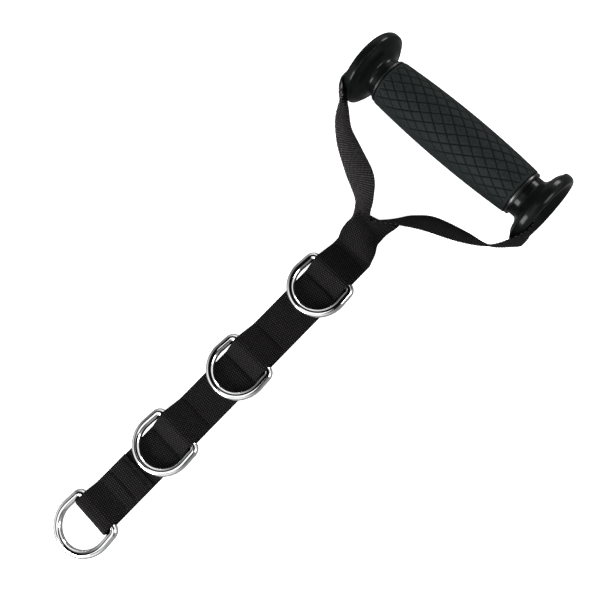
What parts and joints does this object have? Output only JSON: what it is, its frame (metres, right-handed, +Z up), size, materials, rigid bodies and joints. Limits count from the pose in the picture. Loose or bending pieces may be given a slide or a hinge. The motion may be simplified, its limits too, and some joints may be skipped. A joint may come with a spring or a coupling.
{
  "type": "cable machine pull handle",
  "caption": "Pull handle on a webbing sling and sewn strap with D-rings at steps along it, for clipping to a cable or pulley.",
  "frame": {"origin": "centre of the bounding box, at the level of the surface the part lies on", "axes": "+X along the strap from the end ring towards the handle, +Y along the handle's axis, +Z up away from the strap's flat back"},
  "size_m": [0.4062, 0.1641, 0.055],
  "materials": {
    "webbing": "ribbed polyester or nylon webbing, matt",
    "thread": "black sewing thread",
    "plated_wire": "bright plated steel wire",
    "core_plastic": "moulded, plain",
    "grip_rubber": "matt rubber with an engraved diamond lattice",
    "collar_plastic": "moulded, satin",
    "flange_plastic": "moulded, semi-gloss"
  },
  "bodies": {
    "sling": {"sling_core_run": "webbing", "sling_lip_left": "webbing", "sling_lip_right": "webbing", "sling_leg_left": "webbing", "sling_leg_right": "webbing"},
    "handle": {"core_tube": "core_plastic", "grip_sleeve": "grip_rubber", "collar_left": "collar_plastic", "collar_right": "collar_plastic", "end_flange_left": "flange_plastic", "end_flange_right": "flange_plastic"},
    "strap_upper": {"front_ply_upper": "webbing", "back_ply_upper": "webbing", "stitching_upper": "thread"},
    "strap_middle": {"front_ply_middle": "webbing", "back_ply_middle": "webbing", "stitching_middle": "thread"},
    "strap_lower": {"front_ply_lower": "webbing", "back_ply_lower": "webbing", "stitching_lower": "thread"},
    "strap_end": {"end_loop": "webbing", "front_ply_tail": "webbing", "stitching_end": "thread"},
    "ring_1": {"d_ring_1": "plated_wire"},
    "ring_2": {"d_ring_2": "plated_wire"},
    "ring_3": {"d_ring_3": "plated_wire"},
    "ring_4": {"d_ring_4": "plated_wire"}
  },
  "joints": [
    {"name": "handle_spin", "type": "hinge", "parent": "sling", "child": "handle", "pos_m": [0.17565, 0, 0.0275], "axis": [0, 1, 0], "continuous": true},
    {"name": "sling_flex", "type": "hinge", "parent": "sling", "child": "strap_upper", "pos_m": [0.07505, 0, 0.0015], "axis": [0, -1, 0], "range_deg": [-60, 60]},
    {"name": "upper_flex", "type": "hinge", "parent": "strap_upper", "child": "strap_middle", "pos_m": [0.00645, 0, 0.0015], "axis": [0, -1, 0], "range_deg": [-45, 45]},
    {"name": "lower_flex", "type": "hinge", "parent": "strap_middle", "child": "strap_lower", "pos_m": [-0.06825, 0, 0.0015], "axis": [0, -1, 0], "range_deg": [-45, 45]},
    {"name": "end_flex", "type": "hinge", "parent": "strap_lower", "child": "strap_end", "pos_m": [-0.12875, 0, 0.0015], "axis": [0, -1, 0], "range_deg": [-45, 45]},
    {"name": "ring_1_swing", "type": "hinge", "parent": "strap_upper", "child": "ring_1", "pos_m": [0.05645, 0, 0.00495], "axis": [0, 1, 0], "range_deg": [0, 140]},
    {"name": "ring_2_swing", "type": "hinge", "parent": "strap_middle", "child": "ring_2", "pos_m": [-0.02155, 0, 0.00495], "axis": [0, 1, 0], "range_deg": [0, 165]},
    {"name": "ring_3_swing", "type": "hinge", "parent": "strap_lower", "child": "ring_3", "pos_m": [-0.09225, 0, 0.00495], "axis": [0, 1, 0], "range_deg": [0, 165]},
    {"name": "end_ring_swing", "type": "hinge", "parent": "strap_end", "child": "ring_4", "pos_m": [-0.16775, 0, 0.00495], "axis": [0, 1, 0], "range_deg": [-150, 150]}
  ]
}
